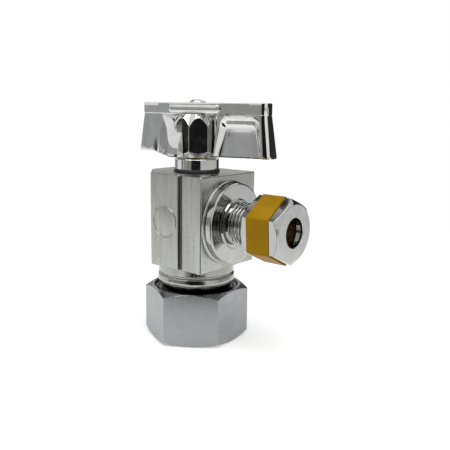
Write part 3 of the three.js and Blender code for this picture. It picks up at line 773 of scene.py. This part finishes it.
def outlet_adapter():
    """The grooved flange with its foot ring, the threaded stub in front and the sealed plug behind."""
    back, foot, radius = FLANGE_BACK, FLANGE_RADIUS, FLANGE_RADIUS - 0.45
    face, start, end, plug = FLANGE_FACE, OUTLET_THREAD_START, ADAPTER_HIGH.x, ADAPTER_LOW.x
    groove_low, groove_high = SEAL_GROOVE
    heights = thread_rows(start, end, OUTLET_PITCH)
    thread = OUTLET_THREAD, OUTLET_PITCH, start, end, OUTLET_FADE
    inner = rounded(
        [
            (OUTLET_SOCKET + 1.02, end, 0.0),
            (OUTLET_SOCKET, end - 1.1, 0.0),
            (OUTLET_SOCKET, STOP_X + 0.5, 0.0),
            (OUTLET_BORE, STOP_X, 0.0),
            (OUTLET_BORE, plug + 0.8, 0.0),
            (OUTLET_BORE + 0.6, plug, 0.0),
            (PLUG_RADIUS, plug, 0.1),
            (PLUG_RADIUS, groove_low, 0.05),
            (PLUG_RADIUS - SEAL_DEPTH, groove_low, 0.05),
            (PLUG_RADIUS - SEAL_DEPTH, groove_high, 0.05),
            (PLUG_RADIUS, groove_high, 0.05),
            (PLUG_RADIUS, back + 0.02, 0.0),
            (foot - 0.1, back + 0.02, 0.0),
            (foot, back + 0.12, 0.05),
            (foot, back + 0.3, 0.1),
            (foot - 0.25, back + 0.42, 0.05),
            (foot - 0.15, back + 0.6, 0.1),
            (radius - 0.3, back + 0.75, 0.05),
            (radius - 0.3, back + 0.9, 0.05),
            (radius, back + 1.0, 0.1),
            (radius, face - 0.25, 0.1),
            (radius - 0.35, face, 0.1),
            (STUB_COLLAR, face, 0.1),
            (STUB_COLLAR - 0.2, face + 0.45, 0.1),
            (STUB_ROOT, face + 0.48, 0.0),
        ],
    )

    def profile(angle):
        return thread_line(angle, heights, *thread) + inner

    adapter = turned("outlet_adapter_shell", even_angles(THREAD_STEPS), profile, on_x)
    smooth(adapter, sharp=40)
    return place(adapter, "valve", "bright_chrome", "outlet_adapter", finish="bright_nut")


# ---- Bonnet, gasket and ferrules ----
STEM_HOLE, SPIGOT_RADIUS, COLLAR_RADIUS = 2.8, 5.2, 5.65
SHOULDER_HOLE, SHOULDER_TOP = 3.95, 42.0  # the room for the stem's shoulder
INLET_SLEEVE_WALL, OUTLET_SLEEVE_WALL = 1.05, 0.62
SLEEVE_TAPER = 0.36  # of a sleeve's length, at each end
SLEEVE_EDGE = 0.35  # of a sleeve's wall, left at its ends


def bonnet():
    """The bright round collar under the handle."""
    top, foot, low = BONNET_HIGH.z, GASKET_HIGH.z, BONNET_LOW.z
    profile = rounded(
        [
            (STEM_HOLE, SHOULDER_TOP, 0.0),
            (SHOULDER_HOLE, SHOULDER_TOP, 0.0),
            (SHOULDER_HOLE, low, 0.0),
            (SPIGOT_RADIUS, low, 0.0),
            (SPIGOT_RADIUS, foot, 0.0),
            (COLLAR_RADIUS - 0.1, foot, 0.1),
            (COLLAR_RADIUS, foot + 0.25, 0.1),
            (COLLAR_RADIUS, top - 0.4, 0.3),
            (COLLAR_RADIUS - 0.45, top, 0.2),
            (STEM_HOLE, top, 0.1),
        ],
    )
    collar = turned("bonnet_collar", even_angles(ROUND_STEPS), lambda angle: profile)
    smooth(collar)
    return place(collar, "valve", "bright_chrome", "bonnet")


def gasket():
    """The black ring at the collar's foot."""
    low, high, radius = GASKET_LOW.z, GASKET_HIGH.z, GASKET_HIGH.y
    inner, round_off = SPIGOT_RADIUS + 0.05, 0.25
    profile = rounded(
        [(inner, low, 0.0), (radius, low, round_off), (radius, high, round_off), (inner, high, 0.0)], steps=5
    )
    ring = turned("bonnet_gasket_ring", even_angles(ROUND_STEPS), lambda angle: profile)
    smooth(ring)
    return place(ring, "valve", "black_rubber", "bonnet_gasket")


def ferrule(node, inner, wall, place_on, low, high):
    """A brass sleeve that tapers at both ends, on a body with the same name as its node."""
    taper = (high - low) * SLEEVE_TAPER
    profile = rounded(
        [
            (inner, low, 0.0),
            (inner + wall * SLEEVE_EDGE, low, 0.05),
            (inner + wall, low + taper, 0.6),
            (inner + wall, high - taper, 0.6),
            (inner + wall * SLEEVE_EDGE, high, 0.05),
            (inner, high, 0.0),
        ],
    )
    sleeve = turned(node + "_sleeve", even_angles(ROUND_STEPS), lambda angle: profile, place_on)
    smooth(sleeve)
    return place(sleeve, node, "brass", node)


# ---- Handle ----
HANDLE_BOTTOM, HANDLE_TOP = HANDLE_LOW.z, HANDLE_HIGH.z
TIP_FLARE = 1.4
LONG_ARM, SHORT_ARM = HANDLE_HIGH.x - TIP_FLARE, -HANDLE_LOW.x - TIP_FLARE
TIP_RISE = 0.65
STEP_START, STEP_LENGTH = 0.6, 0.15  # of the short arm, where its underside steps up
BAR_HEIGHT = 2.9
BAR_FOOT = HANDLE_TOP - BAR_HEIGHT
BAR_MIDDLE = 2.9
BAR_SHOULDER, BAR_EASE = 4.5, 16.5  # where its taper starts, and how long it is
# Heights over the bar's foot, and how far its side is drawn in at each.
BAR_LINE = (0.03, 0.15), (0.2, 0.0), (BAR_HEIGHT - 0.3, 0.0), (BAR_HEIGHT - 0.09, 0.09), (BAR_HEIGHT, 0.3)
TIP_HALF_TOP, TIP_HALF_BOTTOM = 1.6, 2.05
FULL_ROUND, SLIGHT_ROUND = 1.55, 0.3  # of the two corners at each tip
ARM_EDGE = 0.4
ARM_STATIONS, ARM_LEVELS, LEVEL_CROWDING = 220, 18, 1.2
THINNEST = 0.05
LOBE_PEAK, LOBE_START, LOBE_REACH, LOBE_BACK = 0.1, -12.2, 7.5, 0.9
LOBE_UPRIGHT, LOBE_SWEEP = 0.9, 1.5  # powers that shape it upwards and along
DISH_X, DISH_LENGTH, DISH_DEPTH = -15.6, 2.3, 0.07
DISH_LEVEL, DISH_SHARE = 0.45, 0.46  # of the arm's height
SCOOP_START, SCOOP_END, SCOOP_HEIGHT = 6.9, 21.0, 2.9
SCOOP_DEPTH, SCOOP_LIP, LIP_SHARPNESS = 1.1, 0.1, 2.5
SCOOP_LEAN, SCOOP_FLARE, SCOOP_TOP = 1.9, 0.9, 0.97
START_WALL, END_WALL, END_WALL_GROWTH = 2.2, 1.3, 2.2
BOWL_LEVEL, BOWL_SHARE = 0.45, 0.5  # of the arm's height
BOWL_LEAST, BOWL_MORE = 0.85, 0.25  # of the scoop's depth
CORNER_BLEND = 0.6  # of a wall's width
NECK_DEPTH, NECK_END, NECK_LENGTH = 1.1, 8.2, 3.5
HUB_HALF, HUB_FOOT = 5.7, 5.4
HUB_CHAMFER, CHAMFER_RISE = 0.9, 1.2  # of its lower end, and how much more it is at the corners
ARCH_DROP, ARCH_FALL = 0.8, 5.0  # of the arches over the flats
PAD_START, PAD_END, PAD_HALF = -7.2, 9.6, 1.05
# How far out of the bar the pad's edge is, and how much smaller it is all round there.
PAD_LINE = (-1.0, 0.0), (0.03, 0.0), (0.10, 0.05), (0.17, 0.22), (0.24, 0.48), (0.29, 0.85)
STEM_SOCKET, SOCKET_CEILING = 2.75, 57.6
SCREW_HOLE, SCREW_GAP = 1.55, 0.2
SCREW_SEAT = SCREW_LOW.z + 7.7


def soft_min(first, second):
    """The smaller of two values, with the change from one to the other rounded off."""
    return (first + second - math.hypot(first - second, CORNER_BLEND)) / 2


def scoop(x, share):
    """The thumb scoop in the long arm's front: a bell with a raised lip that runs out at the bottom.
    Start, end and down are how far inside each of its walls a point is, as a share of the wall."""
    start = (x - SCOOP_START - SCOOP_LEAN * share) / START_WALL
    end = (SCOOP_END + SCOOP_FLARE * (1 - share) - x) / (END_WALL + END_WALL_GROWTH * share)
    down = (SCOOP_TOP - share) * (BAR_FOOT - HANDLE_BOTTOM) / SCOOP_HEIGHT
    lip = SCOOP_LIP * ease(1 - abs(soft_min(soft_min(start, end), down)) * LIP_SHARPNESS)
    bowl = BOWL_LEAST + BOWL_MORE * (1 - ((share - BOWL_LEVEL) / BOWL_SHARE) ** 2)
    return SCOOP_DEPTH * bowl * ease(start) * ease(end) * ease(down) - lip


def lobe(x, share):
    """The lobe at the root of the short arm's front."""
    fade = max(0.0, 1 - share**2) ** LOBE_UPRIGHT
    if x > LOBE_PEAK:
        return fade * ease((LOBE_PEAK + LOBE_BACK - x) / LOBE_BACK)
    along = (LOBE_PEAK - x) / (LOBE_PEAK - LOBE_START)
    return fade * ease(1 - along**LOBE_SWEEP)


def hollow(x, share):
    """How far the arms' front is drawn in: a dish on the short arm, and the neck and scoop on the long."""
    if x < 0:
        away = math.hypot((x - DISH_X) / DISH_LENGTH, (share - DISH_LEVEL) / DISH_SHARE)
        return DISH_DEPTH * ease(1 - away)
    return scoop(x, share) + NECK_DEPTH * ease((NECK_END - x) / NECK_LENGTH)


def front_reach(x, share):
    """How far the front of the arms stands out, at a place along them and a share of their height."""
    tip = TIP_HALF_BOTTOM + (TIP_HALF_TOP - TIP_HALF_BOTTOM) * share
    return tip - hollow(x, share) + (LOBE_REACH - tip) * lobe(x, share)


def bar_half(x):
    return TIP_HALF_TOP + (BAR_MIDDLE - TIP_HALF_TOP) * ease(1 - (abs(x) - BAR_SHOULDER) / BAR_EASE)


def underside(along):
    """Climbs evenly along the long arm, and steps up past the lobe on the short one."""
    rise = along if along > 0 else ease((-along - STEP_START) / STEP_LENGTH)
    return HANDLE_BOTTOM + TIP_RISE * rise


def narrowed(reach, gap, round_off):
    """A half width drawn in by a tip's rounding, at a distance from the tip."""
    if gap >= round_off:
        return reach
    return reach - round_off + math.sqrt(max(0, round_off**2 - (round_off - gap) ** 2))


def arm_side(along, sign):
    """One side of an arm's section, from its underside up to the top of the bar. The front has the sign -1.
    The back is the front turned by half a turn, so the two fully round corners are opposite each other."""
    length = LONG_ARM if along > 0 else SHORT_ARM
    low = underside(along)
    round_off = FULL_ROUND if (along > 0) == (sign < 0) else SLIGHT_ROUND
    points = []
    for k in range(ARM_LEVELS + 1):
        share = (k / ARM_LEVELS) ** LEVEL_CROWDING
        full = length + TIP_FLARE * (1 - share)
        x, z = along * full, low + share * (BAR_FOOT - low)
        reach = narrowed(front_reach(-sign * x, share), full - abs(x), round_off)
        below = 1 - (z - low) / ARM_EDGE
        if below > 0:
            reach -= ARM_EDGE * (1 - math.sqrt(max(0, 1 - below * below)))
        points.append((x, sign * max(THINNEST, reach), z))
    x = along * length
    bar = narrowed(bar_half(x), length - abs(x), round_off)
    for z, inset in BAR_LINE:
        points.append((x, sign * max(THINNEST, bar - inset), BAR_FOOT + z))
    return points


def arms():
    """The two arms and the bar over them as one skin, closed at its tips."""
    places = [-math.cos(math.pi * i / ARM_STATIONS) for i in range(ARM_STATIONS + 1)]
    return skin("handle_arms", [arm_side(along, -1) + arm_side(along, 1)[::-1] for along in places])


def hub():
    """The eight-sided hub, whose flats run up into arches under the bar."""
    sides = range(8)
    turn = TAU / len(sides)
    plan = polygon_radius([turn * i for i in sides], [HUB_HALF] * len(sides), fillet=0.22)
    angles = corner_angles([turn * i + turn / 2 for i in sides], spread=0.03, between=10)
    inside = HANDLE_TOP - BAR_HEIGHT / 2

    def profile(angle):
        wall = plan(angle)
        extra = wall - HUB_HALF
        return rounded(
            [
                (0, HANDLE_BOTTOM, 0.0),
                (HUB_FOOT, HANDLE_BOTTOM, 0.1),
                (wall, HANDLE_BOTTOM + HUB_CHAMFER + extra * CHAMFER_RISE, 0.4),
                (wall, BAR_FOOT - ARCH_DROP - extra * ARCH_FALL, 0.3),
                (HUB_HALF - 1.1, BAR_FOOT - 0.02, 0.0),
                (HUB_HALF - 3.2, BAR_FOOT + 0.12, 0.0),
                (HUB_HALF - 3.4, inside, 0.0),
                (0, inside, 0.0),
            ],
        )

    return turned("handle_hub", angles, profile, closed=False)


def pill_ring(out, cut, steps=16):
    """A pill-shaped ring of points in front of the bar, smaller all round by a cut."""
    centre, half = HANDLE_TOP - BAR_HEIGHT / 2 - 0.1, PAD_HALF - cut
    ring = []
    for middle, first in ((PAD_END - PAD_HALF, -math.pi / 2), (PAD_START + PAD_HALF, math.pi / 2)):
        for k in range(steps + 1):
            turn = first + math.pi * k / steps
            ring.append((middle + half * math.cos(turn), -(BAR_MIDDLE + out), centre + half * math.sin(turn)))
    return ring


def handle():
    """The winged handle: arms, hub and the plain raised pad on the bar, with a hole for stem and screw."""
    body = arms()
    boolean(body, hub(), "UNION")
    boolean(body, skin("handle_pad", [pill_ring(out, cut) for out, cut in PAD_LINE]), "UNION")
    head_hole = SCREW_HIGH.x + SCREW_GAP
    bore = [
        (0, HANDLE_BOTTOM - BEYOND),
        (STEM_SOCKET, HANDLE_BOTTOM - BEYOND),
        (STEM_SOCKET, SOCKET_CEILING),
        (SCREW_HOLE, SOCKET_CEILING),
        (SCREW_HOLE, SCREW_SEAT),
        (head_hole, SCREW_SEAT),
        (head_hole, HANDLE_TOP + BEYOND),
        (0, HANDLE_TOP + BEYOND),
    ]
    boolean(body, turned("handle_bore", even_angles(BORE_STEPS), lambda angle: bore, closed=False))
    body.name = "handle_lever"
    smooth(body, sharp=32)
    return place(body, "handle", "bright_chrome", "handle")


HEAD_UNDERSIDE, DOME_HEIGHT = 8.15, 0.95  # from the screw's tip, and from its top
SHANK_RADIUS, POINT_RADIUS, POINT_LENGTH = 1.35, 0.95, 0.5
SLOT_LENGTH, SLOT_WIDTH, SLOT_DEPTH, SLOT_RISE, SLOT_TAPER = 1.15, 0.27, 0.9, 0.4, 0.55


def handle_screw():
    """The domed screw on top, with its cross recess."""
    radius, top, low = SCREW_HIGH.x, SCREW_HIGH.z, SCREW_LOW.z
    under, rim = low + HEAD_UNDERSIDE, top - DOME_HEIGHT
    dome = [(radius * math.cos(t), rim + DOME_HEIGHT * math.sin(t)) for t in np.linspace(0, TAU / 4, 12)]
    shank = [(0, low), (POINT_RADIUS, low), (SHANK_RADIUS, low + POINT_LENGTH), (SHANK_RADIUS, under)]
    profile = shank + [(radius - 0.05, under)] + dome
    screw = turned("handle_screw_dome", even_angles(BORE_STEPS), lambda angle: profile, closed=False)
    for turn in (0, math.pi / 2):
        boolean(screw, cross_slot(turn, top))
    smooth(screw, sharp=35)
    return place(screw, "handle", "steel", "handle_screw")


def cross_slot(turn, top):
    """A cutter for one arm of the cross recess, tapering to its floor."""
    vertices = []
    for z, size in ((top - SLOT_DEPTH, SLOT_TAPER), (top + SLOT_RISE, 1.0)):
        for sx, sy in ((-1, -1), (1, -1), (1, 1), (-1, 1)):
            x, y = sx * SLOT_LENGTH * size, sy * SLOT_WIDTH * size
            across = x * math.cos(turn) - y * math.sin(turn)
            along = x * math.sin(turn) + y * math.cos(turn)
            vertices.append((across, along, z))
    faces = [(3, 2, 1, 0), (4, 5, 6, 7), (0, 1, 5, 4), (1, 2, 6, 5), (2, 3, 7, 6), (3, 0, 4, 7)]
    return tidy_mesh(new_object("slot", vertices, faces))


# ---- Assembly ----
valve_body()
inlet_nut()
outlet_adapter()
outlet_nut()
size_band()
bonnet()
gasket()
handle()
handle_screw()
ferrule("inlet_ferrule", TUBE_SOCKET, INLET_SLEEVE_WALL, on_z, INLET_SLEEVE_LOW.z, INLET_SLEEVE_HIGH.z)
ferrule("outlet_ferrule", OUTLET_SOCKET, OUTLET_SLEEVE_WALL, on_x, OUTLET_SLEEVE_LOW.x, OUTLET_SLEEVE_HIGH.x)

node_slots = {part["node"]: part["material_slot"] for part in frame["record"]["subparts"]}
for node, obj in frame["nodes"].items():
    dress(obj, node_slots[node])


# ---- Camera ----
CAMERA_AZIMUTH = math.radians(41.4)
CAMERA_DISTANCE = 159.6
CAMERA_HEIGHT = 60.6
CAMERA_PITCH = math.radians(11.06)
CAMERA_YAW = math.radians(-2.67)
CAMERA_ROLL = math.radians(0.76)
LENS, SENSOR = 49.5, 36
NEAREST = 10


def add_camera():
    data = bpy.data.cameras.new("camera")
    data.lens = LENS
    data.sensor_width = SENSOR
    data.clip_start = NEAREST * MM
    camera = bpy.data.objects.new("camera", data)
    bpy.context.scene.collection.objects.link(camera)
    heading = CAMERA_AZIMUTH + CAMERA_YAW
    turn = Matrix.Rotation(heading, 4, "Z") @ Matrix.Rotation(math.pi / 2 - CAMERA_PITCH, 4, "X")
    turn = turn @ Matrix.Rotation(CAMERA_ROLL, 4, "Z")
    spot = Vector((math.sin(CAMERA_AZIMUTH), -math.cos(CAMERA_AZIMUTH), 0)) * CAMERA_DISTANCE
    spot.z = CAMERA_HEIGHT
    camera.matrix_world = Matrix.Translation(spot * MM) @ turn
    bpy.context.scene.camera = camera


# ---- Studio ----
FLOOR_SIZE = 4000
FLOOR_TONE, FLOOR_ROUGHNESS, FLOOR_GLOW = 0.9, 0.9, 0.3
SHADOW_REACH = 230  # the floor is plain white this far from the valve
SHADOW_FULL = 80.5  # and is lit like any other surface up to here
WORLD_LIGHT, BACKDROP = 0.55, 1.0
LAMP_AIM = 30
CARD_STEP = 6  # degrees between the upright edges of a curved card
NIGHT = (0.012, 0.012, 0.013)
# Each card's name, first and last azimuth, lowest and highest edge, distance and colour.
CARDS = (
    ("behind_camera", -78, -30, 0, 640, 330, NIGHT),
    ("below_camera", -72, -26, 0, 32, 52, NIGHT),
    ("camera_left", -100, -78, 0, 230, 340, (0.28, 0.275, 0.24)),
    ("camera_far_left", -124, -100, 0, 180, 345, (0.37, 0.37, 0.35)),
    ("left", -168, -124, 44, 125, 350, (0.43, 0.435, 0.44)),
    ("left_low", -136, -127, 8, 53, 345, (0.03, 0.03, 0.03)),
    ("back_left", 112, 192, 0, 125, 350, (0.34, 0.345, 0.35)),
    ("right", -34, 72, 0, 58, 350, (0.62, 0.62, 0.60)),
    ("right_end", 20, 74, 58, 240, 350, (0.03, 0.03, 0.03)),
    ("right_back", 74, 112, 0, 260, 340, (0.04, 0.04, 0.04)),
    ("back_left_high", 146, 200, 270, 620, 330, (0.015, 0.015, 0.015)),
)


def seen_directly(nodes, links):
    """1 for what the camera, metal and glass see, and 0 for the light that falls on things."""
    path = nodes.new("ShaderNodeLightPath")
    result = path.outputs["Is Camera Ray"]
    for ray in ("Is Glossy Ray", "Is Transmission Ray"):
        either = nodes.new("ShaderNodeMath")
        either.operation = "MAXIMUM"
        links.new(result, either.inputs[0])
        links.new(path.outputs[ray], either.inputs[1])
        result = either.outputs[0]
    return result


def emission(name, color):
    material = bpy.data.materials.new(name)
    material.use_nodes = True
    nodes, links = material.node_tree.nodes, material.node_tree.links
    nodes.clear()
    glow = nodes.new("ShaderNodeEmission")
    glow.inputs["Color"].default_value = (*color, 1)
    output = nodes.new("ShaderNodeOutputMaterial")
    links.new(glow.outputs["Emission"], output.inputs["Surface"])
    return material


def card(name, start, end, low, high, distance, color):
    """A curved upright card from one azimuth to another, which only the chrome sees."""
    steps = max(1, round((end - start) / CARD_STEP))
    vertices = []
    for i in range(steps + 1):
        turn = math.radians(start + (end - start) * i / steps)
        vertices += [(math.cos(turn) * distance, math.sin(turn) * distance, z) for z in (low, high)]
    faces = [(2 * i, 2 * i + 2, 2 * i + 3, 2 * i + 1) for i in range(steps)]
    obj = new_object(name, vertices, faces)
    obj.data.materials.append(emission(name, color))
    obj.visible_camera = False
    obj.visible_shadow = False
    obj.visible_diffuse = False


def add_floor():
    """White, with the valve's soft shadow near it. Farther out nothing is lit, and it meets the backdrop."""
    corners = [(x * FLOOR_SIZE, y * FLOOR_SIZE, 0) for x, y in ((-1, -1), (1, -1), (1, 1), (-1, 1))]
    floor = new_object("floor", corners, [(0, 1, 2, 3)])
    material, nodes, links, shader = principled("pale_floor")
    shader.inputs["Base Color"].default_value = as_color(FLOOR_TONE)
    shader.inputs["Roughness"].default_value = FLOOR_ROUGHNESS
    shader.inputs["Specular IOR Level"].default_value = 0.0
    shader.inputs["Emission Color"].default_value = as_color(1.0)
    seen = seen_directly(nodes, links)
    near = nodes.new("ShaderNodeMath")
    near.operation = "MULTIPLY"
    near.inputs[1].default_value = FLOOR_GLOW
    links.new(seen, near.inputs[0])
    links.new(near.outputs[0], shader.inputs["Emission Strength"])
    white = nodes.new("ShaderNodeEmission")
    links.new(seen, white.inputs["Strength"])
    coordinates = nodes.new("ShaderNodeTexCoord")
    length = nodes.new("ShaderNodeVectorMath")
    length.operation = "LENGTH"
    fade = nodes.new("ShaderNodeMapRange")
    fade.interpolation_type = "SMOOTHSTEP"
    fade.inputs["From Min"].default_value = SHADOW_FULL * MM
    fade.inputs["From Max"].default_value = SHADOW_REACH * MM
    mix = nodes.new("ShaderNodeMixShader")
    links.new(coordinates.outputs["Object"], length.inputs[0])
    links.new(length.outputs["Value"], fade.inputs["Value"])
    links.new(fade.outputs["Result"], mix.inputs["Fac"])
    links.new(shader.outputs["BSDF"], mix.inputs[1])
    links.new(white.outputs["Emission"], mix.inputs[2])
    links.new(mix.outputs["Shader"], nodes["Material Output"].inputs["Surface"])
    floor.data.materials.append(material)


def add_world():
    """A soft plain light on the valve, behind a backdrop that is white to the camera, metal and glass."""
    world = bpy.data.worlds.new("studio")
    bpy.context.scene.world = world
    world.use_nodes = True
    nodes, links = world.node_tree.nodes, world.node_tree.links
    background = nodes["Background"]
    background.inputs["Color"].default_value = as_color(1.0)
    strength = nodes.new("ShaderNodeMapRange")
    strength.inputs["To Min"].default_value = WORLD_LIGHT
    strength.inputs["To Max"].default_value = BACKDROP
    seen = seen_directly(nodes, links)
    links.new(seen, strength.inputs["Value"])
    links.new(strength.outputs["Result"], background.inputs["Strength"])


def lamp(name, azimuth, height, distance, size, power, mirrored=True):
    """A square soft light aimed at the valve. Chrome shows it as a white square if it is mirrored."""
    data = bpy.data.lights.new(name, "AREA")
    data.shape = "SQUARE"
    data.size = size * MM
    data.energy = power
    obj = bpy.data.objects.new(name, data)
    bpy.context.scene.collection.objects.link(obj)
    turn = math.radians(azimuth)
    spot = Vector((math.cos(turn) * distance, math.sin(turn) * distance, height)) * MM
    aim = Vector((0, 0, LAMP_AIM)) * MM
    obj.matrix_world = Matrix.Translation(spot) @ (aim - spot).to_track_quat("-Z", "Y").to_matrix().to_4x4()
    obj.visible_glossy = mirrored


def add_studio():
    add_floor()
    add_world()
    lamp("top_softbox", azimuth=-70, height=560, distance=120, size=420, power=1.5)
    lamp("right_softbox", azimuth=-12, height=330, distance=480, size=260, power=0.8, mirrored=False)
    for values in CARDS:
        card(*values)


add_camera()
add_studio()
view = bpy.context.scene.view_settings
view.view_transform = "Standard"
